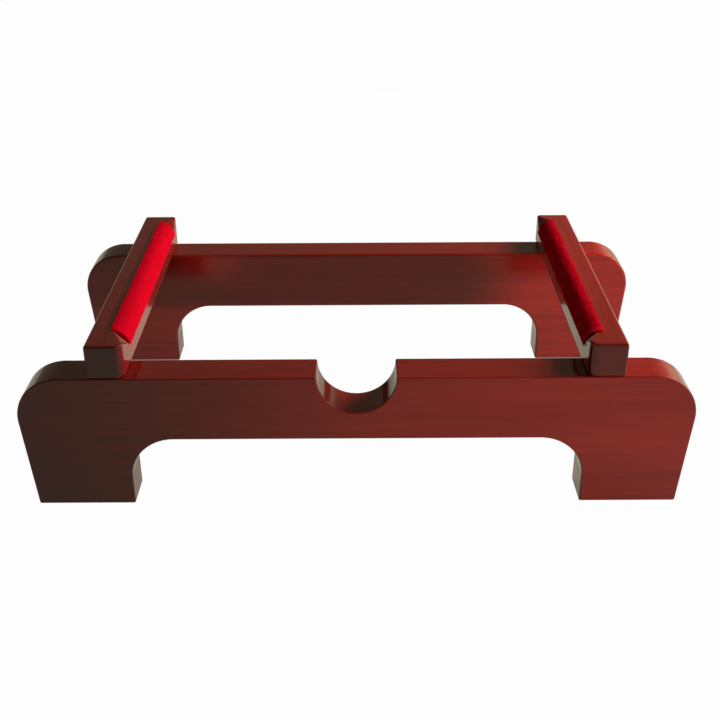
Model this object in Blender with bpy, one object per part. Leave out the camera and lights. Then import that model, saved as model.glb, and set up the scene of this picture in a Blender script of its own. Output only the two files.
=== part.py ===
import math

import bmesh
import bpy
from mathutils import Vector

# Driving dimensions, in metres
BOARD_LENGTH = 0.300  # across the shoulders, the widest place
BOARD_HEIGHT = 0.065
BOARD_THICKNESS = 0.0185
OVERALL_DEPTH = 0.160  # outer face of the front board to outer face of the rear board
END_LEAN = math.radians(5.0)  # how far each end leans in towards its foot
SHOULDER_RADIUS = 0.020
ARCH_SPAN = 0.204  # clear width between the feet
ARCH_HEIGHT = 0.034
ARCH_RADIUS = 0.020
NOTCH_RADIUS = 0.0175
EDGE_EASE = 0.0012  # rounding along every wooden edge

BAR_WIDTH = 0.0165
BAR_HEIGHT = 0.0155
BAR_SPACING = 0.201  # clear width between the two bars

CHAMFER_LEG = 0.0068  # sloping seat planed along the bar's inner top edge for the felt
CHAMFER_FRONT_RUNOUT = 0.014  # length over which that seat fades out at the front
CHAMFER_REAR_RUNOUT = 0.006  # the same at the rear
CHAMFER_MARGIN = 0.0035  # full-section wood beyond each run-out

FELT_ON_TOP = 0.0074  # reach of the felt across the bar's top, from the bar's inner face
FELT_DOWN_SIDE = 0.0070  # reach of the felt down the bar's inner face
FELT_PROUD = 0.0004  # how far the felt's cut edges stand out of the bar's faces
FELT_DOME = 0.0019  # rise of the felt's middle over its two long edges
FELT_LEAST_THICKNESS = 0.0002  # kept over the edges of the seat where it fades out
FELT_LEFT_FRONT_MARGIN = 0.0158  # bare bar in front of the left felt
FELT_RIGHT_FRONT_MARGIN = 0.0122  # bare bar in front of the right felt
FELT_REAR_MARGIN = 0.0090  # bare bar behind each felt

DOWEL_DIAMETER = 0.008
DOWEL_LENGTH = 0.030
DOWEL_IN_BAR = 0.010
DOWEL_CHAMFER = 0.0008

FIT_GAP = 0.0003  # glue line between pieces that meet
CUTTER_OVERSHOOT = 0.002  # how far a cutter stands clear of the wood it enters

# Smoothness
ARC_STEP = math.radians(7.5)
EASE_SEGMENTS = 2
EASE_ANGLE = math.radians(35.0)
SMOOTH_ANGLE = math.radians(30.0)
DOWEL_SIDES = 24
FELT_DOME_STEPS = 12

# Finishes: linear colour and roughness
LACQUERED_WOOD = ((0.135, 0.022, 0.013, 1.0), 0.25)
RED_FELT = ((0.60, 0.004, 0.012, 1.0), 0.95)
BARE_BEECH = ((0.55, 0.36, 0.20, 1.0), 0.60)

# Places worked out from the driving dimensions
BOARD_CENTRE_Y = (OVERALL_DEPTH - BOARD_THICKNESS) / 2
BAR_INNER_X = BAR_SPACING / 2
BAR_CENTRE_X = BAR_INNER_X + BAR_WIDTH / 2
BAR_BOTTOM_Z = BOARD_HEIGHT + FIT_GAP
BAR_TOP_Z = BAR_BOTTOM_Z + BAR_HEIGHT
CHAMFER_TIP_Y = OVERALL_DEPTH / 2 - CHAMFER_MARGIN
CHAMFER_FROM_Y = CHAMFER_FRONT_RUNOUT - CHAMFER_TIP_Y  # the seat has its full width from here
CHAMFER_TO_Y = CHAMFER_TIP_Y - CHAMFER_REAR_RUNOUT  # to here
FELT_FRONT_Y = {
    "left": FELT_LEFT_FRONT_MARGIN - OVERALL_DEPTH / 2,
    "right": FELT_RIGHT_FRONT_MARGIN - OVERALL_DEPTH / 2,
}
FELT_REAR_Y = OVERALL_DEPTH / 2 - FELT_REAR_MARGIN
DOWEL_CENTRE_Z = BOARD_HEIGHT + DOWEL_IN_BAR - DOWEL_LENGTH / 2
EASED_LEG = EDGE_EASE * (2 - math.sqrt(2))  # flat that just touches an eased edge

SIDES = {"left": -1, "right": 1}
ENDS = {"front": -1, "rear": 1}
QUARTER_TURN = math.pi / 2


def clear_scene():
    for item in list(bpy.data.objects):
        bpy.data.objects.remove(item, do_unlink=True)


def mesh_object(name, form, location, parent):
    bmesh.ops.recalc_face_normals(form, faces=form.faces)
    mesh = bpy.data.meshes.new(name)
    form.to_mesh(mesh)
    form.free()
    mesh.shade_smooth()
    mesh.set_sharp_from_angle(angle=SMOOTH_ANGLE)
    item = bpy.data.objects.new(name, mesh)
    bpy.context.collection.objects.link(item)
    item.parent = parent
    item.location = location
    return item


def give_finish(item, finish):
    colour, roughness = finish
    material = bpy.data.materials.new(item.name + "_finish")
    material.use_nodes = True
    shader = material.node_tree.nodes["Principled BSDF"]
    shader.inputs["Base Color"].default_value = colour
    shader.inputs["Roughness"].default_value = roughness
    shader.inputs["Metallic"].default_value = 0.0
    item.data.materials.append(material)


def round_edges(item, width, segments):
    rounding = item.modifiers.new("rounded_edges", "BEVEL")
    rounding.width = width
    rounding.segments = segments
    rounding.limit_method = "ANGLE"
    rounding.angle_limit = EASE_ANGLE


def cut(item, cutter):
    cutter.hide_render = True
    cutter.display_type = "WIRE"
    difference = item.modifiers.new(cutter.name, "BOOLEAN")
    difference.operation = "DIFFERENCE"
    difference.solver = "EXACT"
    difference.object = cutter


def arc(centre_x, centre_z, radius, start, end):
    steps = max(2, round(abs(end - start) / ARC_STEP))
    points = []
    for i in range(steps + 1):
        angle = start + (end - start) * i / steps
        points.append((centre_x + radius * math.cos(angle), centre_z + radius * math.sin(angle)))
    return points


def board_outline(notched):
    # Right half, from the arch's crown out round the foot and shoulder to the middle of the top.
    fillet_x = ARCH_SPAN / 2 - ARCH_RADIUS
    fillet_z = ARCH_HEIGHT - ARCH_RADIUS
    shoulder_x = BOARD_LENGTH / 2 - SHOULDER_RADIUS
    shoulder_z = BOARD_HEIGHT - SHOULDER_RADIUS
    foot_x = shoulder_x + SHOULDER_RADIUS / math.cos(END_LEAN) - shoulder_z * math.tan(END_LEAN)
    half = arc(fillet_x, fillet_z, ARCH_RADIUS, QUARTER_TURN, 0.0)
    half += [(ARCH_SPAN / 2, 0.0), (foot_x, 0.0)]
    half += arc(shoulder_x, shoulder_z, SHOULDER_RADIUS, -END_LEAN, QUARTER_TURN)
    other_half = [(-x, z) for x, z in reversed(half)]
    notch = arc(0.0, BOARD_HEIGHT, NOTCH_RADIUS, 0.0, -math.pi) if notched else []
    return half + notch + other_half


def board(name, end, parent):
    form = bmesh.new()
    front = -BOARD_THICKNESS / 2
    outline = [form.verts.new((x, front, z)) for x, z in board_outline(end == "front")]
    grown = bmesh.ops.extrude_face_region(form, geom=[form.faces.new(outline)])
    moved = [part for part in grown["geom"] if isinstance(part, bmesh.types.BMVert)]
    bmesh.ops.translate(form, verts=moved, vec=(0.0, BOARD_THICKNESS, 0.0))
    item = mesh_object(name, form, (0.0, ENDS[end] * BOARD_CENTRE_Y, 0.0), parent)
    round_edges(item, EDGE_EASE, EASE_SEGMENTS)
    give_finish(item, LACQUERED_WOOD)
    return item


def bar(name, side, parent):
    form = bmesh.new()
    bmesh.ops.create_cube(form, size=1.0)
    bmesh.ops.scale(form, vec=(BAR_WIDTH, OVERALL_DEPTH, BAR_HEIGHT), verts=form.verts)
    place = (SIDES[side] * BAR_CENTRE_X, 0.0, BAR_BOTTOM_Z + BAR_HEIGHT / 2)
    item = mesh_object(name, form, place, parent)
    round_edges(item, EDGE_EASE, EASE_SEGMENTS)
    give_finish(item, LACQUERED_WOOD)
    return item


def bar_edge(side):
    # The sharp inner top edge that a bar would have without its sloping seat.
    return (SIDES[side] * BAR_INNER_X, 0.0, BAR_TOP_Z)


def loft(form, rings):
    loops = [[form.verts.new(point) for point in ring] for ring in rings]
    count = len(loops[0])
    for near, far in zip(loops, loops[1:]):
        for i in range(count):
            j = (i + 1) % count
            form.faces.new((near[i], near[j], far[j], far[i]))
    return loops


def chamfer_cutter(name, side, parent):
    reach = CUTTER_OVERSHOOT
    stations = (
        (-CHAMFER_TIP_Y, 0.0),
        (CHAMFER_FROM_Y, CHAMFER_LEG),
        (CHAMFER_TO_Y, CHAMFER_LEG),
        (CHAMFER_TIP_Y, 0.0),
    )
    rings = []
    for y, leg in stations:
        section = ((leg + reach, reach), (-reach, reach), (-reach, -leg - reach))
        rings.append([(SIDES[side] * u, y, w) for u, w in section])
    form = bmesh.new()
    loops = loft(form, rings)
    form.faces.new(loops[0])
    form.faces.new(loops[-1])
    return mesh_object(name, form, bar_edge(side), parent)


def seat_leg(y):
    # Width of the sloping seat on the bar's top at one place along it.
    runout = CHAMFER_FRONT_RUNOUT if y < 0 else CHAMFER_REAR_RUNOUT
    fade = min(1.0, (CHAMFER_TIP_Y - abs(y)) / runout)
    return max(EASED_LEG, CHAMFER_LEG * fade)


def dome(first, last, marks):
    # Points of an arc from first to last that bulges outwards and stays outside the marks.
    half = (last - first).length / 2
    along = (last - first).normalized()
    outward = Vector((along.y, -along.x))
    middle = (first + last) / 2
    rise = FELT_DOME
    for mark in marks:
        across, out = (mark - middle).dot(along), (mark - middle).dot(outward)
        if out > 0:
            drop = (half ** 2 - across ** 2 - out ** 2) / (2 * out)
            rise = max(rise, math.hypot(half, drop) - drop)
    swing = 2 * math.atan(rise / half)
    radius = half / math.sin(swing)
    centre = middle - outward * radius * math.cos(swing)
    angles = [swing * (2 * i / FELT_DOME_STEPS - 1) for i in range(FELT_DOME_STEPS + 1)]
    return [centre + (outward * math.cos(a) + along * math.sin(a)) * radius for a in angles]


def felt_ring(side, y):
    # One section of the felt; u runs into the bar and w runs up from its inner top edge.
    leg = seat_leg(y)
    high = FIT_GAP + FELT_PROUD
    least = FIT_GAP + FELT_LEAST_THICKNESS
    marks = (Vector((leg, least)), Vector((-least, -leg)))
    over = dome(Vector((FELT_ON_TOP, high)), Vector((-high, -FELT_DOWN_SIDE)), marks)
    # The underside lies on the bar's top, on the seat and on the inner face.
    leg -= FIT_GAP * (math.sqrt(2) - 1)
    seat_top, seat_foot = Vector((leg, FIT_GAP)), Vector((-FIT_GAP, -leg))
    steps = FELT_DOME_STEPS - 2
    under = [Vector((FELT_ON_TOP, FIT_GAP))]
    under += [seat_top.lerp(seat_foot, i / steps) for i in range(steps + 1)]
    under.append(Vector((-FIT_GAP, -FELT_DOWN_SIDE)))
    return [(SIDES[side] * u, y, w) for u, w in over + under[::-1]]


def felt_pad(name, side, parent):
    front, rear = FELT_FRONT_Y[side], FELT_REAR_Y
    bends = [y for y in (CHAMFER_FROM_Y, CHAMFER_TO_Y) if front + FIT_GAP < y < rear - FIT_GAP]
    rings = [felt_ring(side, y) for y in [front] + bends + [rear]]
    form = bmesh.new()
    loops = loft(form, rings)
    for end in (loops[0], loops[-1]):
        for i in range(len(end) // 2 - 1):
            form.faces.new((end[i], end[i + 1], end[-2 - i], end[-1 - i]))
    item = mesh_object(name, form, bar_edge(side), parent)
    give_finish(item, RED_FELT)
    return item


def rod(radius, length):
    form = bmesh.new()
    bmesh.ops.create_cone(
        form, cap_ends=True, segments=DOWEL_SIDES, radius1=radius, radius2=radius, depth=length
    )
    return form


def dowel(name, place, parent):
    item = mesh_object(name, rod(DOWEL_DIAMETER / 2, DOWEL_LENGTH), place, parent)
    round_edges(item, DOWEL_CHAMFER, 1)
    give_finish(item, BARE_BEECH)
    return item


def dowel_hole(name, place, parent):
    form = rod(DOWEL_DIAMETER / 2 + FIT_GAP, DOWEL_LENGTH + 2 * FIT_GAP)
    return mesh_object(name, form, place, parent)


def build():
    clear_scene()
    cradle = bpy.data.objects.new("cradle", None)
    bpy.context.collection.objects.link(cradle)
    boards = {end: board(end + "_board", end, cradle) for end in ENDS}
    for side in SIDES:
        rail = bar(side + "_bar", side, cradle)
        cut(rail, chamfer_cutter(side + "_chamfer_cutter", side, cradle))
        felt_pad(side + "_felt_pad", side, cradle)
        for end in ENDS:
            place = (SIDES[side] * BAR_CENTRE_X, ENDS[end] * BOARD_CENTRE_Y, DOWEL_CENTRE_Z)
            corner = end + "_" + side
            dowel(corner + "_dowel", place, cradle)
            hole = dowel_hole(corner + "_hole_cutter", place, cradle)
            cut(rail, hole)
            cut(boards[end], hole)


build()
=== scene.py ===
import math

import bmesh
import bpy
from mathutils import Matrix, Vector, noise


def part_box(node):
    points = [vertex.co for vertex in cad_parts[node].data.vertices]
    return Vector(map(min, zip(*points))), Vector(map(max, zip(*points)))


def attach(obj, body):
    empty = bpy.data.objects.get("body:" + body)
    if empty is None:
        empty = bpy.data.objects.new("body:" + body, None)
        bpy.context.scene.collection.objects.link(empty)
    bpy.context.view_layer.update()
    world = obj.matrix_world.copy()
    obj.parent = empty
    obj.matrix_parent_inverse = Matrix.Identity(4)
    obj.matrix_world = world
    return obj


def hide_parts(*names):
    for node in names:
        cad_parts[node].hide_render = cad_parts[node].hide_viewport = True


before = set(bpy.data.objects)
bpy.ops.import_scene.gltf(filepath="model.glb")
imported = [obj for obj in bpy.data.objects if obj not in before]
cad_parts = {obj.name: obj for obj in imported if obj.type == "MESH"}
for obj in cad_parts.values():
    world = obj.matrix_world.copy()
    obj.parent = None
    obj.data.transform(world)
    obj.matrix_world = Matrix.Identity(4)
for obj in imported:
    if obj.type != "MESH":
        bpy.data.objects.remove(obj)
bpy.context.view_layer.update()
print("frame loaded:", len(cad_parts), "solids")

sides = {"left": -1, "right": 1}
ends = ("front", "rear")
quarterTurn = math.pi / 2


# Small helpers for meshes

def meshPiece(name, form, standsFor, finish):
    bmesh.ops.recalc_face_normals(form, faces=form.faces)
    mesh = bpy.data.meshes.new(name)
    form.to_mesh(mesh)
    form.free()
    mesh.shade_smooth()
    piece = bpy.data.objects.new(name, mesh)
    bpy.context.scene.collection.objects.link(piece)
    mesh.materials.append(finish)
    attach(piece, "root")
    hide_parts(standsFor)
    return piece


def keepFlatsFlat(piece):
    normals = piece.modifiers.new("flatFaces", "WEIGHTED_NORMAL")
    normals.mode = "FACE_AREA"
    normals.weight = 100  # the largest face at a corner sets its normal


def arcPoints(centreX, centreZ, radius, start, end, step):
    count = max(2, round(abs(end - start) / step))
    angles = [start + (end - start) * i / count for i in range(count + 1)]
    return [(centreX + radius * math.cos(a), centreZ + radius * math.sin(a)) for a in angles]


def loft(form, rings):
    loops = [[form.verts.new(point) for point in ring] for ring in rings]
    count = len(loops[0])
    for near, far in zip(loops, loops[1:]):
        for i in range(count):
            j = (i + 1) % count
            form.faces.new((near[i], near[j], far[j], far[i]))
    return loops


# Blind bores for the hidden dowels, so that wood and dowel don't share space

dowelFit = {"clearance": 0.0003, "sides": 24}


def boreForDowels(piece, corners):
    gap = dowelFit["clearance"]
    form = bmesh.new()
    for corner in corners:
        low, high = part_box(corner + "_dowel")
        radius = (high.x - low.x) / 2 + gap
        bmesh.ops.create_cone(
            form, cap_ends=True, segments=dowelFit["sides"], radius1=radius, radius2=radius,
            depth=high.z - low.z + 2 * gap, matrix=Matrix.Translation((low + high) / 2),
        )
    mesh = bpy.data.meshes.new("drill")
    form.to_mesh(mesh)
    form.free()
    drill = bpy.data.objects.new("drill", mesh)
    bpy.context.scene.collection.objects.link(drill)
    cut = piece.modifiers.new("bores", "BOOLEAN")
    cut.object = drill
    shown = bpy.context.evaluated_depsgraph_get()
    bored = bpy.data.meshes.new_from_object(
        piece.evaluated_get(shown), preserve_all_data_layers=True, depsgraph=shown,
    )
    piece.modifiers.remove(cut)
    plain, piece.data = piece.data, bored
    for spare in (plain, mesh):
        bpy.data.meshes.remove(spare)  # the drill goes with its mesh


# Small helpers for shader nodes

def addNode(tree, kind, values=None, **settings):
    node = tree.nodes.new("ShaderNode" + kind)
    for key, value in settings.items():
        setattr(node, key, value)
    for key, value in (values or {}).items():
        node.inputs[key].default_value = value
    return node


def maths(tree, operation, first, second=None):
    node = addNode(tree, "Math", operation=operation)
    for socket, value in zip(node.inputs, (first, second)):
        if isinstance(value, (int, float)):
            socket.default_value = value
        elif value is not None:
            tree.links.new(value, socket)
    return node.outputs[0]


def smoothRange(tree, value, low, high):
    limits = {"From Min": low, "From Max": high}
    node = addNode(tree, "MapRange", limits, interpolation_type="SMOOTHSTEP")
    tree.links.new(value, node.inputs["Value"])
    return node.outputs["Result"]


def mixColours(tree, share, first, second):
    node = addNode(tree, "Mix", data_type="RGBA")
    for socket, value in ((node.inputs[0], share), (node.inputs[6], first), (node.inputs[7], second)):
        if isinstance(value, (int, float, tuple)):
            socket.default_value = value
        else:
            tree.links.new(value, socket)
    return node.outputs[2]


def stretched(tree, vector, scale):
    node = addNode(tree, "VectorMath", operation="MULTIPLY")
    tree.links.new(vector, node.inputs[0])
    node.inputs[1].default_value = scale
    return node.outputs[0]


def noiseOf(tree, vector, detail, roughness):
    node = addNode(tree, "TexNoise", {"Scale": 1.0, "Detail": detail, "Roughness": roughness})
    tree.links.new(vector, node.inputs["Vector"])
    return node.outputs["Fac"]


def newGroup(name, inputs, outputs):
    tree = bpy.data.node_groups.new(name, "ShaderNodeTree")
    for label, kind, value in inputs:
        socket = tree.interface.new_socket(name=label, in_out="INPUT", socket_type="NodeSocket" + kind)
        socket.default_value = value
    for label, kind in outputs:
        tree.interface.new_socket(name=label, in_out="OUTPUT", socket_type="NodeSocket" + kind)
    source = tree.nodes.new("NodeGroupInput")
    target = tree.nodes.new("NodeGroupOutput")
    return tree, source.outputs, target.inputs


def placeGroup(tree, group, values=None):
    node = tree.nodes.new("ShaderNodeGroup")
    node.node_tree = group
    for key, value in (values or {}).items():
        node.inputs[key].default_value = value
    return node


def newMaterial(name):
    material = bpy.data.materials.new(name)
    material.use_nodes = True
    tree = material.node_tree
    return material, tree, tree.nodes["Principled BSDF"]


# Wood grain that runs along the vector's X: growth rings, fine streaks and open pores

grainSizes = {
    "streak": (9.0, 330.0, 330.0),  # per metre, so streaks are long in X and about 3 mm across
    "drift": (5.0, 26.0, 26.0),
    "pore": (70.0, 1900.0, 1900.0),
    "streakDetail": (4.0, 0.6),  # the noise's detail and roughness
    "driftDetail": (2.0, 0.5),
    "poreDetail": (1.0, 0.5),
    "pith": (0.0, 0.046, -0.085),  # where the rings' centre line lies
    "ringSpacing": 0.0042,
    "ringDrift": 0.022,
    "lateWoodRise": (0.25, 0.90),  # a ring darkens slowly, then ends at once
    "lateWoodFall": (1.00, 0.93),
    "streakShare": 0.75,
    "driftShare": 0.45,
    "lateWoodShare": 0.07,
    "poreReach": 0.6,  # how far a pore share of 1 lowers the level at which pores start
    "poreEdge": (-0.12, 0.0),  # pores fade in over this range below that level
    "toneHeight": 0.4,
}


def makeWoodGrain():
    tree, source, target = newGroup(
        "woodGrain",
        [("Vector", "Vector", (0.0, 0.0, 0.0)), ("Pore Share", "Float", 0.4)],
        [("Tone", "Float"), ("Pores", "Float"), ("Height", "Float")],
    )
    sizes = grainSizes
    streak = noiseOf(tree, stretched(tree, source["Vector"], sizes["streak"]), *sizes["streakDetail"])
    drift = noiseOf(tree, stretched(tree, source["Vector"], sizes["drift"]), *sizes["driftDetail"])
    fromPith = addNode(tree, "VectorMath", operation="SUBTRACT")
    tree.links.new(source["Vector"], fromPith.inputs[0])
    fromPith.inputs[1].default_value = sizes["pith"]
    across = addNode(tree, "VectorMath", operation="LENGTH")
    tree.links.new(stretched(tree, fromPith.outputs[0], (0.0, 1.0, 1.0)), across.inputs[0])
    wander = maths(tree, "MULTIPLY", drift, sizes["ringDrift"])
    radius = maths(tree, "ADD", across.outputs["Value"], wander)
    ring = maths(tree, "FRACT", maths(tree, "DIVIDE", radius, sizes["ringSpacing"]))
    rise = smoothRange(tree, ring, *sizes["lateWoodRise"])
    fall = smoothRange(tree, ring, *sizes["lateWoodFall"])
    lateWood = maths(tree, "MULTIPLY", maths(tree, "MULTIPLY", rise, fall), sizes["lateWoodShare"])
    streaks = maths(tree, "MULTIPLY", streak, sizes["streakShare"])
    drifts = maths(tree, "MULTIPLY", drift, sizes["driftShare"])
    tone = maths(tree, "SUBTRACT", maths(tree, "ADD", streaks, drifts), lateWood)
    poreNoise = noiseOf(tree, stretched(tree, source["Vector"], sizes["pore"]), *sizes["poreDetail"])
    reach = maths(tree, "MULTIPLY", source["Pore Share"], sizes["poreReach"])
    poreLevel = maths(tree, "SUBTRACT", 1.0, reach)
    pores = smoothRange(tree, maths(tree, "SUBTRACT", poreNoise, poreLevel), *sizes["poreEdge"])
    height = maths(tree, "SUBTRACT", maths(tree, "MULTIPLY", tone, sizes["toneHeight"]), pores)
    tree.links.new(tone, target["Tone"])
    tree.links.new(pores, target["Pores"])
    tree.links.new(height, target["Height"])
    return tree


# Sawn ends soak up more stain, and the eased edges near the ends get painted shade: a mask of the faces
# that look along the grain

# The low start of this range also darkens eased edges near the ends: painted shade that damps the light
# they catch.
sawnAndShadedFrom, sawnAndShadedFully = 0.22, 0.92  # how squarely a face looks along the grain, 1 at a sawn end


def makeEndGrainAndShade():
    tree, source, target = newGroup(
        "endGrainAndShade",
        [("Normal", "Vector", (0.0, 0.0, 1.0)), ("Along", "Vector", (1.0, 0.0, 0.0))],
        [("Mask", "Float")],
    )
    facing = addNode(tree, "VectorMath", operation="DOT_PRODUCT")
    tree.links.new(source["Normal"], facing.inputs[0])
    tree.links.new(source["Along"], facing.inputs[1])
    facesEnd = maths(tree, "ABSOLUTE", facing.outputs["Value"])
    tree.links.new(smoothRange(tree, facesEnd, sawnAndShadedFrom, sawnAndShadedFully), target["Mask"])
    return tree


# Lacquer that is rubbed a little thin along the eased edges

rubSizes = {"patch": (90.0, 90.0, 90.0), "patchDetail": (3.0, 0.65), "wornRange": (0.35, 0.65)}


def makeEdgeRub():
    tree, source, target = newGroup(
        "edgeRub",
        [("Rim", "Float", 0.0), ("Vector", "Vector", (0.0, 0.0, 0.0))],
        [("Mask", "Float")],
    )
    sizes = rubSizes
    patches = noiseOf(tree, stretched(tree, source["Vector"], sizes["patch"]), *sizes["patchDetail"])
    worn = smoothRange(tree, patches, *sizes["wornRange"])
    tree.links.new(maths(tree, "MULTIPLY", source["Rim"], worn), target["Mask"])
    return tree


# Faint clouds and ripple in a sprayed lacquer film

filmSizes = {
    "cloud": (40.0, 40.0, 40.0),  # per metre
    "cloudDetail": (4.0, 0.5),
    "ripple": (420.0, 420.0, 420.0),
    "rippleDetail": (1.0, 0.5),
}


def makeLacquerFilm():
    tree, source, target = newGroup(
        "lacquerFilm",
        [("Vector", "Vector", (0.0, 0.0, 0.0))],
        [("Cloud", "Float"), ("Ripple", "Float")],
    )
    sizes = filmSizes
    cloud = noiseOf(tree, stretched(tree, source["Vector"], sizes["cloud"]), *sizes["cloudDetail"])
    ripple = noiseOf(tree, stretched(tree, source["Vector"], sizes["ripple"]), *sizes["rippleDetail"])
    tree.links.new(cloud, target["Cloud"])
    tree.links.new(ripple, target["Ripple"])
    return tree


woodGrain = makeWoodGrain()
endGrainAndShade = makeEndGrainAndShade()
edgeRub = makeEdgeRub()
lacquerFilm = makeLacquerFilm()
print("shader groups ready")


lacquerLook = {
    "deep": (0.195, 0.0060, 0.0040, 1.0),
    "middle": (0.285, 0.0095, 0.0060, 1.0),
    "clear": (0.365, 0.0140, 0.0085, 1.0),
    "pore": (0.080, 0.0050, 0.0035, 1.0),
    "sawnEndAndShade": (0.060, 0.0080, 0.0060, 1.0),
    "rubbed": (0.340, 0.0200, 0.0120, 1.0),
    "poreShare": 0.40,
    "poreStrength": 0.55,
    "sawnEndAndShadeShare": 0.72,
    "rubShare": 0.20,
    "underSpecular": 0.05,
    "underTint": (1.0, 0.25, 0.18, 1.0),
    "toneStops": (0.32, 0.52, 0.78),  # where the grain is deep, middle and clear
    "roughness": 0.34,
    "roughnessCloud": 0.16,
    "coatRoughness": 0.12,
    "rippleShare": 0.5,
    "bumpDepth": 0.00006,
    "bumpStrength": 0.35,
}


def makeLacquer(name, along, turn):
    look = lacquerLook
    material, tree, shader = newMaterial(name)
    place = addNode(tree, "TexCoord")
    mapping = addNode(tree, "Mapping")
    mapping.inputs["Rotation"].default_value = turn
    tree.links.new(place.outputs["Object"], mapping.inputs["Vector"])
    grain = placeGroup(tree, woodGrain, {"Pore Share": look["poreShare"]})
    tree.links.new(mapping.outputs["Vector"], grain.inputs["Vector"])
    ramp = addNode(tree, "ValToRGB")
    first, middle, last = look["toneStops"]
    ramp.color_ramp.elements[0].position = first
    ramp.color_ramp.elements[0].color = look["deep"]
    ramp.color_ramp.elements[1].position = last
    ramp.color_ramp.elements[1].color = look["clear"]
    ramp.color_ramp.elements.new(middle).color = look["middle"]
    tree.links.new(grain.outputs["Tone"], ramp.inputs["Fac"])
    poreShare = maths(tree, "MULTIPLY", grain.outputs["Pores"], look["poreStrength"])
    colour = mixColours(tree, poreShare, ramp.outputs["Color"], look["pore"])
    # Sawn ends darken with stain; the same mix lays painted shade on the eased edges near the ends.
    sawnAndShade = placeGroup(tree, endGrainAndShade, {"Along": along})
    tree.links.new(place.outputs["Normal"], sawnAndShade.inputs["Normal"])
    endShare = maths(tree, "MULTIPLY", sawnAndShade.outputs["Mask"], look["sawnEndAndShadeShare"])
    colour = mixColours(tree, endShare, colour, look["sawnEndAndShade"])
    rim = addNode(tree, "Attribute", attribute_name="rim")
    rub = placeGroup(tree, edgeRub)
    tree.links.new(rim.outputs["Fac"], rub.inputs["Rim"])
    tree.links.new(place.outputs["Object"], rub.inputs["Vector"])
    rubShare = maths(tree, "MULTIPLY", rub.outputs["Mask"], look["rubShare"])
    colour = mixColours(tree, rubShare, colour, look["rubbed"])
    tree.links.new(colour, shader.inputs["Base Color"])
    film = placeGroup(tree, lacquerFilm)
    tree.links.new(place.outputs["Object"], film.inputs["Vector"])
    cloud = maths(tree, "MULTIPLY", film.outputs["Cloud"], look["roughnessCloud"])
    tree.links.new(maths(tree, "ADD", cloud, look["roughness"]), shader.inputs["Roughness"])
    ripple = maths(tree, "MULTIPLY", film.outputs["Ripple"], look["rippleShare"])
    relief = maths(tree, "ADD", grain.outputs["Height"], ripple)
    bump = addNode(tree, "Bump", {"Strength": look["bumpStrength"], "Distance": look["bumpDepth"]})
    tree.links.new(relief, bump.inputs["Height"])
    tree.links.new(bump.outputs["Normal"], shader.inputs["Normal"])
    shader.inputs["Specular IOR Level"].default_value = look["underSpecular"]
    shader.inputs["Specular Tint"].default_value = look["underTint"]
    shader.inputs["Coat Weight"].default_value = 1.0
    shader.inputs["Coat Roughness"].default_value = look["coatRoughness"]
    return material


beechLook = {
    "pale": (0.60, 0.42, 0.25, 1.0),
    "dark": (0.42, 0.25, 0.13, 1.0),
    "fleck": (0.26, 0.13, 0.06, 1.0),
    "fleckShare": 0.5,
    "roughness": 0.5,
    "roughnessGrain": 0.2,
    "bumpDepth": 0.0001,
    "bumpStrength": 0.5,
}


def makeBeech():
    look = beechLook
    material, tree, shader = newMaterial("bareBeech")
    place = addNode(tree, "TexCoord")
    mapping = addNode(tree, "Mapping")
    mapping.inputs["Rotation"].default_value = (0.0, quarterTurn, 0.0)
    tree.links.new(place.outputs["Object"], mapping.inputs["Vector"])
    grain = placeGroup(tree, woodGrain, {"Pore Share": look["fleckShare"]})
    tree.links.new(mapping.outputs["Vector"], grain.inputs["Vector"])
    colour = mixColours(tree, grain.outputs["Tone"], look["dark"], look["pale"])
    colour = mixColours(tree, grain.outputs["Pores"], colour, look["fleck"])
    tree.links.new(colour, shader.inputs["Base Color"])
    uneven = maths(tree, "MULTIPLY", grain.outputs["Tone"], look["roughnessGrain"])
    tree.links.new(maths(tree, "ADD", uneven, look["roughness"]), shader.inputs["Roughness"])
    bump = addNode(tree, "Bump", {"Strength": look["bumpStrength"], "Distance": look["bumpDepth"]})
    tree.links.new(grain.outputs["Height"], bump.inputs["Height"])
    tree.links.new(bump.outputs["Normal"], shader.inputs["Normal"])
    return material


feltLook = {
    "deep": (0.65, 0.0012, 0.0110, 1.0),
    "bright": (0.86, 0.0020, 0.0165, 1.0),
    "fibre": (1500.0, 1500.0, 1500.0),  # per metre
    "fibreDetail": (3.0, 0.7),
    "mat": (260.0, 260.0, 260.0),
    "matDetail": (3.0, 0.6),
    "fibreShare": 0.55,
    "matShare": 0.55,
    "toneRange": (0.30, 0.75),
    "roughness": 0.86,
    "roughnessFibre": 0.14,
    "bumpDepth": 0.00025,
    "bumpStrength": 0.7,
    "specular": 0.04,
    "sheen": 0.10,
    "sheenRoughness": 0.4,
    "sheenTint": (1.0, 0.05, 0.08, 1.0),
}


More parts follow.
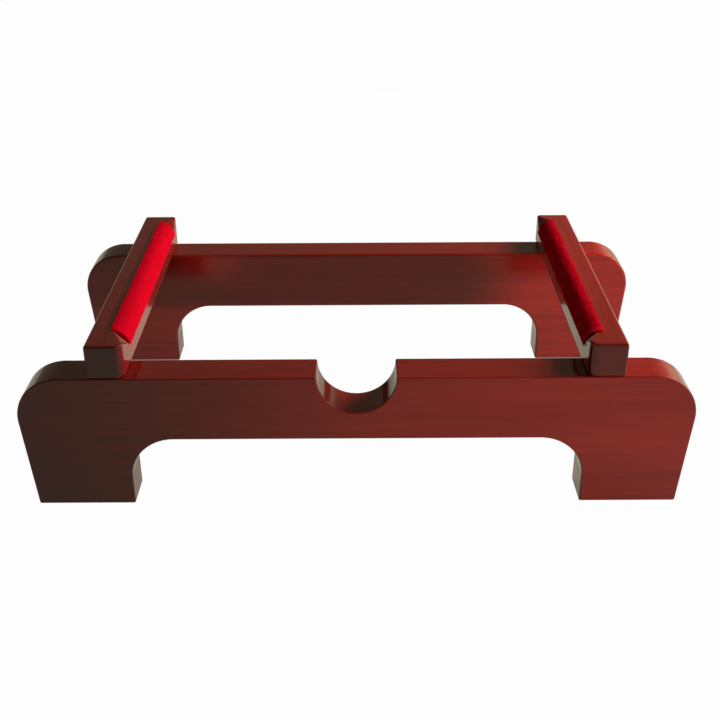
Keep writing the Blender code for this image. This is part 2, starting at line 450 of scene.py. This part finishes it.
def makeFelt():
    look = feltLook
    material, tree, shader = newMaterial("redFelt")
    place = addNode(tree, "TexCoord")
    fibre = noiseOf(tree, stretched(tree, place.outputs["Object"], look["fibre"]), *look["fibreDetail"])
    mat = noiseOf(tree, stretched(tree, place.outputs["Object"], look["mat"]), *look["matDetail"])
    fibres = maths(tree, "MULTIPLY", fibre, look["fibreShare"])
    tone = maths(tree, "ADD", fibres, maths(tree, "MULTIPLY", mat, look["matShare"]))
    brightShare = smoothRange(tree, tone, *look["toneRange"])
    colour = mixColours(tree, brightShare, look["deep"], look["bright"])
    tree.links.new(colour, shader.inputs["Base Color"])
    fuzz = maths(tree, "MULTIPLY", fibre, look["roughnessFibre"])
    tree.links.new(maths(tree, "ADD", fuzz, look["roughness"]), shader.inputs["Roughness"])
    bump = addNode(tree, "Bump", {"Strength": look["bumpStrength"], "Distance": look["bumpDepth"]})
    tree.links.new(tone, bump.inputs["Height"])
    tree.links.new(bump.outputs["Normal"], shader.inputs["Normal"])
    shader.inputs["Specular IOR Level"].default_value = look["specular"]
    shader.inputs["Sheen Weight"].default_value = look["sheen"]
    shader.inputs["Sheen Roughness"].default_value = look["sheenRoughness"]
    shader.inputs["Sheen Tint"].default_value = look["sheenTint"]
    return material


boardLacquer = makeLacquer("boardLacquer", (1.0, 0.0, 0.0), (0.0, 0.0, 0.0))
barLacquer = makeLacquer("barLacquer", (0.0, 1.0, 0.0), (0.0, 0.0, -quarterTurn))
redFelt = makeFelt()
bareBeech = makeBeech()
print("finishes ready")


# The two arched boards

boardShape = {
    "endLean": math.radians(5.0),  # each end leans in towards its foot
    "shoulderRadius": 0.020,
    "archSpan": 0.204,
    "archHeight": 0.034,
    "archRadius": 0.020,
    "notchRadius": 0.0175,
    "edgeEase": 0.0012,
    "easeSegments": 4,
    "easeProfile": 0.5,  # round
    "arcStep": math.radians(2.5),
    "sharpFrom": math.radians(25.0),
}


def boardOutline(length, height, notched):
    shape = boardShape
    step = shape["arcStep"]
    archEnd = shape["archSpan"] / 2
    shoulderX = length / 2 - shape["shoulderRadius"]
    shoulderZ = height - shape["shoulderRadius"]
    lean = shape["endLean"]
    footX = shoulderX + shape["shoulderRadius"] / math.cos(lean) - shoulderZ * math.tan(lean)
    archRadius = shape["archRadius"]
    archX, archZ = archEnd - archRadius, shape["archHeight"] - archRadius
    half = arcPoints(archX, archZ, archRadius, quarterTurn, 0.0, step)
    half += [(archEnd, 0.0), (footX, 0.0)]
    half += arcPoints(shoulderX, shoulderZ, shape["shoulderRadius"], -lean, quarterTurn, step)
    notch = arcPoints(0.0, height, shape["notchRadius"], 0.0, -math.pi, step) if notched else []
    return half + notch + [(-x, z) for x, z in reversed(half)]


def markRim(form, roundFaces):
    rim = form.loops.layers.float.new("rim")
    roundFaces = set(roundFaces)
    for face in roundFaces:
        for corner in face.loops:
            inside = all(near in roundFaces for near in corner.vert.link_faces)
            corner[rim] = 1.0 if inside else 0.0


def makeBoard(end):
    shape = boardShape
    node = end + "_board"
    low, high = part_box(node)
    form = bmesh.new()
    outline = boardOutline(high.x - low.x, high.z, notched=end == "front")
    face = form.faces.new([form.verts.new((x, low.y, z)) for x, z in outline])
    grown = bmesh.ops.extrude_face_region(form, geom=[face])
    moved = [part for part in grown["geom"] if isinstance(part, bmesh.types.BMVert)]
    bmesh.ops.translate(form, verts=moved, vec=(0.0, high.y - low.y, 0.0))
    bmesh.ops.recalc_face_normals(form, faces=form.faces)
    sharp = [edge for edge in form.edges if edge.calc_face_angle() > shape["sharpFrom"]]
    eased = bmesh.ops.bevel(
        form, geom=sharp, offset=shape["edgeEase"], segments=shape["easeSegments"],
        profile=shape["easeProfile"], affect="EDGES", clamp_overlap=True,
    )
    markRim(form, eased["faces"])
    piece = meshPiece(end + "BoardLacquered", form, node, boardLacquer)
    boreForDowels(piece, [end + "_" + side for side in sides])
    keepFlatsFlat(piece)


for end in ends:
    makeBoard(end)
print("boards made")


# The two bars: a sloping felt seat along the inner top edge, which fades out at both ends

barShape = {
    "edgeEase": 0.0012,
    "easeSegments": 4,
    "easeFrom": 0.05,  # the rounding at an end starts this share of the way round
    "innerCorner": 0.004,  # rounding of the upright inner corner at the front end
    "cornerSegments": 8,
    "seatLeg": 0.0068,
    "frontRunout": 0.014,
    "rearRunout": 0.006,
    "seatMargin": 0.0035,  # full section beyond each run-out
    "fadedSlack": 1.001,  # keeps a faded seat just wider than the eased edge
    "glueGap": 0.0003,
    "weldWithin": 0.00001,
}


def seatLeg(y, end):
    shape = barShape
    runout = shape["frontRunout"] if y < 0 else shape["rearRunout"]
    fade = (end - shape["seatMargin"] - abs(y)) / runout
    easedLeg = shape["edgeEase"] * (2 - math.sqrt(2))  # flat that just touches an eased edge
    return max(easedLeg * shape["fadedSlack"], shape["seatLeg"] * min(1.0, fade))


def roundedSection(corners, radius, segments):
    points = []
    count = len(corners)
    for i, corner in enumerate(corners):
        corner = Vector(corner)
        back = (Vector(corners[i - 1]) - corner).normalized()
        ahead = (Vector(corners[(i + 1) % count]) - corner).normalized()
        half = back.angle(ahead) / 2
        centre = corner + (back + ahead).normalized() * (radius / math.sin(half))
        start = corner + back * (radius / math.tan(half)) - centre
        end = corner + ahead * (radius / math.tan(half)) - centre
        for k in range(segments + 1):
            swing = start.lerp(end, k / segments).normalized() * radius
            points.append(centre + swing)
    return points


def arcSteps(radius, segments, first):
    # distances from the end at which a rounded corner gets a section
    swings = [quarterTurn * (first + (1 - first) * k / segments) for k in range(segments + 1)]
    return [radius * (1 - math.cos(swing)) for swing in swings]


def roundSet(distance, radius):
    # how far a rounded corner lies in, at this distance from the end
    short = max(0.0, radius - distance)
    return radius - math.sqrt(radius * radius - short * short)


def barSection(width, height, leg, inset, near):
    cut = inset * (2 - math.sqrt(2))  # keeps the seat parallel as the section shrinks
    far, high = width - inset, height - inset
    corners = [
        (near, inset), (far, inset), (far, high),
        (near + leg - cut, high), (near, high - leg + cut),
    ]
    return roundedSection(corners, barShape["edgeEase"] - inset, barShape["easeSegments"])


def makeBar(side):
    shape = barShape
    node = side + "_bar"
    low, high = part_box(node)
    bottom = low.z - shape["glueGap"]
    inner = low.x if side == "right" else high.x
    tip = high.y - shape["seatMargin"]
    ease, innerCorner = shape["edgeEase"], shape["innerCorner"]
    easeSteps = arcSteps(ease, shape["easeSegments"], shape["easeFrom"])
    cornerSteps = arcSteps(innerCorner, shape["cornerSegments"], 0.0)
    frontSteps = easeSteps + [step for step in cornerSteps if step > ease]
    stations = [low.y + step for step in frontSteps] + [high.y - step for step in easeSteps]
    stations += [-tip, shape["frontRunout"] - tip, tip - shape["rearRunout"], tip]
    rings = []
    for y in sorted(stations):
        inset = roundSet(min(y - low.y, high.y - y), ease)
        near = max(inset, roundSet(y - low.y, innerCorner))
        section = barSection(high.x - low.x, high.z - bottom, seatLeg(y, high.y), inset, near)
        rings.append([(inner + sides[side] * u, y, bottom + w) for u, w in section])
    form = bmesh.new()
    loops = loft(form, rings)
    form.faces.new(loops[0])
    form.faces.new(loops[-1])
    bmesh.ops.remove_doubles(form, verts=form.verts, dist=shape["weldWithin"])
    piece = meshPiece(side + "BarLacquered", form, node, barLacquer)
    boreForDowels(piece, [end + "_" + side for end in ends])
    keepFlatsFlat(piece)


# The felt strips: low domes that fill the seats

feltShape = {
    "glueGap": 0.0003,
    "edgeHigh": 0.0007,  # cut edge over the bar's faces, glue line included
    "onTop": 0.0074,
    "downSide": 0.0070,
    "dome": 0.0019,  # rise of the strip's middle over its two edges
    "leastThick": 0.0002,  # kept over the edges of the seat where it fades out
    "steps": (6, 14, 6),  # over the bar's top, the seat and the inner face
    "stations": 150,
    "edgeWave": 0.00035,  # hand-cut edges wander this much
    "topWave": (90.0, 3.0, 0.0),  # waves per metre, then the place in the noise
    "topRipple": (240.0, 5.0, 2.0),
    "topRippleShare": 0.5,
    "sideWave": (110.0, 9.0, 7.0),
    "lump": 0.00012,
    "lumpsAlong": 300.0,  # per metre
    "lumpsAcross": 400.0,
    "lumpPlace": 11.0,
    "lip": 0.0006,  # cut ends round over within this distance
    "lipDrop": 0.00025,
    "sharpFrom": math.radians(60.0),
}


def feltOuter(leg, onTop, downSide):
    # points of the domed side with the way each faces: u runs into the bar, w runs up
    shape = feltShape
    first = Vector((onTop, shape["edgeHigh"]))
    last = Vector((-shape["edgeHigh"], -downSide))
    half = (last - first).length / 2
    along = (last - first).normalized()
    outward = Vector((along.y, -along.x))
    middle = (first + last) / 2
    least = shape["glueGap"] + shape["leastThick"]
    rise = shape["dome"]
    for mark in (Vector((leg, least)), Vector((-least, -leg))):
        across, out = (mark - middle).dot(along), (mark - middle).dot(outward)
        if out > 0:
            drop = (half ** 2 - across ** 2 - out ** 2) / (2 * out)
            rise = max(rise, math.hypot(half, drop) - drop)
    swing = 2 * math.atan(rise / half)
    radius = half / math.sin(swing)
    centre = middle - outward * radius * math.cos(swing)
    count = sum(shape["steps"])
    points = []
    for i in range(count + 1):
        angle = swing * (2 * i / count - 1)
        facing = outward * math.cos(angle) + along * math.sin(angle)
        points.append((centre + facing * radius, facing))
    return points


def feltUnder(leg, onTop, downSide):
    # the same number of points on the bar's top, on the seat and on the inner face
    gap = feltShape["glueGap"]
    leg -= gap * (math.sqrt(2) - 1)  # where lines one gap off the seat and off the bar's faces cross
    marks = [Vector((onTop, gap)), Vector((leg, gap)), Vector((-gap, -leg)), Vector((-gap, -downSide))]
    points = []
    for first, last, steps in zip(marks, marks[1:], feltShape["steps"]):
        points += [first.lerp(last, i / steps) for i in range(steps)]
    return points + [marks[-1]]


def lipSink(distance):
    short = 1.0 - min(1.0, distance / feltShape["lip"])
    return feltShape["lipDrop"] * (1.0 - math.sqrt(1.0 - short * short))


def edgeNoise(y, sign, wave):
    perMetre, row, layer = wave
    return noise.noise(Vector((y * perMetre, sign * row, layer)))


def lumpNoise(y, point, sign):
    across = feltShape["lumpsAcross"]
    depth = point.x * across + sign * feltShape["lumpPlace"]
    return noise.noise(Vector((y * feltShape["lumpsAlong"], point.y * across, depth)))


def makeFeltPad(side):
    shape = feltShape
    node = side + "_felt_pad"
    barLow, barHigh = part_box(side + "_bar")
    low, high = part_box(node)
    edgeX = barLow.x if side == "right" else barHigh.x
    edgeZ = barHigh.z
    sign = sides[side]
    rings = []
    for k in range(shape["stations"] + 1):
        y = low.y + (high.y - low.y) * k / shape["stations"]
        topWave = edgeNoise(y, sign, shape["topWave"])
        topWave += shape["topRippleShare"] * edgeNoise(y, sign, shape["topRipple"])
        sideWave = edgeNoise(y, sign, shape["sideWave"])
        onTop = shape["onTop"] + shape["edgeWave"] * topWave
        downSide = shape["downSide"] + shape["edgeWave"] * sideWave
        endSink = lipSink(min(y - low.y, high.y - y))
        leg = seatLeg(y, barHigh.y)
        over = []
        for point, facing in feltOuter(leg, onTop, downSide):
            over.append(point + facing * (shape["lump"] * lumpNoise(y, point, sign) - endSink))
        under = feltUnder(leg, onTop, downSide)
        rings.append([(edgeX + sign * u, y, edgeZ + w) for u, w in over + under[::-1]])
    form = bmesh.new()
    loops = loft(form, rings)
    for end in (loops[0], loops[-1]):
        for i in range(len(end) // 2 - 1):
            form.faces.new((end[i], end[i + 1], end[-2 - i], end[-1 - i]))
    piece = meshPiece(side + "FeltStrip", form, node, redFelt)
    piece.data.set_sharp_from_angle(angle=shape["sharpFrom"])


for side in sides:
    makeBar(side)
    makeFeltPad(side)
print("bars and felt made")

for end in ends:
    for side in sides:
        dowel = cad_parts[end + "_" + side + "_dowel"]
        dowel.data.materials.clear()
        dowel.data.materials.append(bareBeech)
print("dowels finished")


# Camera at the photograph's viewing angle

cameraPlace = {
    "lens": 54.663,  # mm
    "sensor": 36.0,
    "clipFrom": 0.01,
    "location": (0.0016, -0.4959, 0.2918),
    "lookDown": math.radians(27.655),
    "lean": math.radians(-0.30),
}

cameraData = bpy.data.cameras.new("camera")
cameraData.lens = cameraPlace["lens"]
cameraData.sensor_width = cameraPlace["sensor"]
cameraData.clip_start = cameraPlace["clipFrom"]
camera = bpy.data.objects.new("camera", cameraData)
bpy.context.scene.collection.objects.link(camera)
tilt = Matrix.Rotation(quarterTurn - cameraPlace["lookDown"], 4, "X")
roll = Matrix.Rotation(cameraPlace["lean"], 4, "Z")
camera.matrix_world = Matrix.Translation(cameraPlace["location"]) @ tilt @ roll
bpy.context.scene.camera = camera


# Floor, surround and lamps

white = (1.0, 1.0, 1.0, 1.0)
stageLook = {
    "floorSize": 8.0,
    "floorColour": (0.22, 0.21, 0.19, 1.0),
    "cameraShare": 0.985,  # how much of the floor a camera ray sees as plain white
    "glossyShare": 0.43,
    "floorTint": (1.0, 0.95, 0.72, 1.0),  # as mirrored in the lacquer
    "surroundGlossy": 0.15,
    "paleSide": 0.50,  # a paler backdrop low on the right, as mirrored in the lacquer
    "paleSideFrom": (0.10, 0.45),  # over this range of the direction's X
    "paleSideUpTo": (0.30, 0.05),  # and of its Z
    "surroundFill": 0.03,
    "surroundTint": (1.0, 0.86, 0.58, 1.0),
}


def makeFloor():
    form = bmesh.new()
    bmesh.ops.create_grid(form, x_segments=1, y_segments=1, size=stageLook["floorSize"] / 2)
    mesh = bpy.data.meshes.new("floor")
    form.to_mesh(mesh)
    form.free()
    floor = bpy.data.objects.new("floor", mesh)
    bpy.context.scene.collection.objects.link(floor)
    material, tree, shader = newMaterial("paleFloor")
    tree.nodes.remove(shader)
    matte = addNode(tree, "BsdfDiffuse", {"Color": stageLook["floorColour"]})
    glow = addNode(tree, "Emission", {"Strength": 1.0})
    path = addNode(tree, "LightPath")
    tint = mixColours(tree, path.outputs["Is Glossy Ray"], white, stageLook["floorTint"])
    tree.links.new(tint, glow.inputs["Color"])
    seen = maths(tree, "MULTIPLY", path.outputs["Is Camera Ray"], stageLook["cameraShare"])
    mirrored = maths(tree, "MULTIPLY", path.outputs["Is Glossy Ray"], stageLook["glossyShare"])
    share = maths(tree, "ADD", maths(tree, "ADD", seen, mirrored), path.outputs["Is Transmission Ray"])
    mix = addNode(tree, "MixShader")
    tree.links.new(share, mix.inputs["Fac"])
    tree.links.new(matte.outputs[0], mix.inputs[1])
    tree.links.new(glow.outputs[0], mix.inputs[2])
    tree.links.new(mix.outputs[0], tree.nodes["Material Output"].inputs["Surface"])
    mesh.materials.append(material)


def makeSurround():
    world = bpy.data.worlds.new("surround")
    bpy.context.scene.world = world
    world.use_nodes = True
    tree = world.node_tree
    shader = tree.nodes["Background"]
    path = addNode(tree, "LightPath")
    towards = addNode(tree, "SeparateXYZ")
    tree.links.new(addNode(tree, "TexCoord").outputs["Generated"], towards.inputs[0])
    toRight = smoothRange(tree, towards.outputs["X"], *stageLook["paleSideFrom"])
    lowDown = smoothRange(tree, towards.outputs["Z"], *stageLook["paleSideUpTo"])
    pale = maths(tree, "MULTIPLY", maths(tree, "MULTIPLY", toRight, lowDown), stageLook["paleSide"])
    mirrored = maths(tree, "ADD", pale, stageLook["surroundGlossy"])
    glossy = maths(tree, "MULTIPLY", path.outputs["Is Glossy Ray"], mirrored)
    seen = maths(tree, "MAXIMUM", path.outputs["Is Camera Ray"], path.outputs["Is Transmission Ray"])
    seen = maths(tree, "MAXIMUM", seen, glossy)
    strength = maths(tree, "MAXIMUM", seen, stageLook["surroundFill"])
    tint = mixColours(tree, path.outputs["Is Camera Ray"], stageLook["surroundTint"], white)
    tree.links.new(tint, shader.inputs["Color"])
    tree.links.new(strength, shader.inputs["Strength"])


lamps = {
    "key": {
        "location": (0.36, 0.055, 0.205), "aim": (0.0, 0.03, 0.06), "size": (0.26, 0.22),
        "spread": 180.0, "watts": 1.9, "glint": False,
    },
    "panel": {
        "location": (0.45, 0.11, 0.23), "aim": (0.0, 0.03, 0.06), "size": (0.54, 0.38),
        "spread": 180.0, "watts": 0.75, "glint": True,
    },
    "front": {
        "location": (0.60, -0.773, 0.04), "aim": (0.20, -0.08, 0.04), "size": (0.40, 0.05),
        "spread": 16.0, "watts": 0.095, "glint": False,
    },
    "back": {
        "location": (0.10, 0.66, 0.10), "aim": (0.0, 0.08, 0.04), "size": (0.20, 0.20),
        "spread": 180.0, "watts": 0.6, "glint": False,
    },
    "leftFill": {
        "location": (-0.32, 0.0, 0.03), "aim": (-0.12, 0.0, 0.03), "size": (0.30, 0.04),
        "spread": 180.0, "watts": 0.06, "glint": False,
    },
}


def makeLamp(name, lamp):
    data = bpy.data.lights.new(name, "AREA")
    data.shape = "RECTANGLE"
    data.size, data.size_y = lamp["size"]
    data.energy = lamp["watts"]
    data.spread = math.radians(lamp["spread"])
    item = bpy.data.objects.new(name, data)
    bpy.context.scene.collection.objects.link(item)
    item.visible_camera = False
    item.visible_glossy = lamp["glint"]
    item.location = lamp["location"]
    aim = Vector(lamp["aim"]) - item.location
    item.rotation_euler = aim.to_track_quat("-Z", "Y").to_euler()


makeFloor()
makeSurround()
for name, lamp in lamps.items():
    makeLamp(name, lamp)
bpy.context.scene.view_settings.view_transform = "Standard"
print("stage and lamps ready")
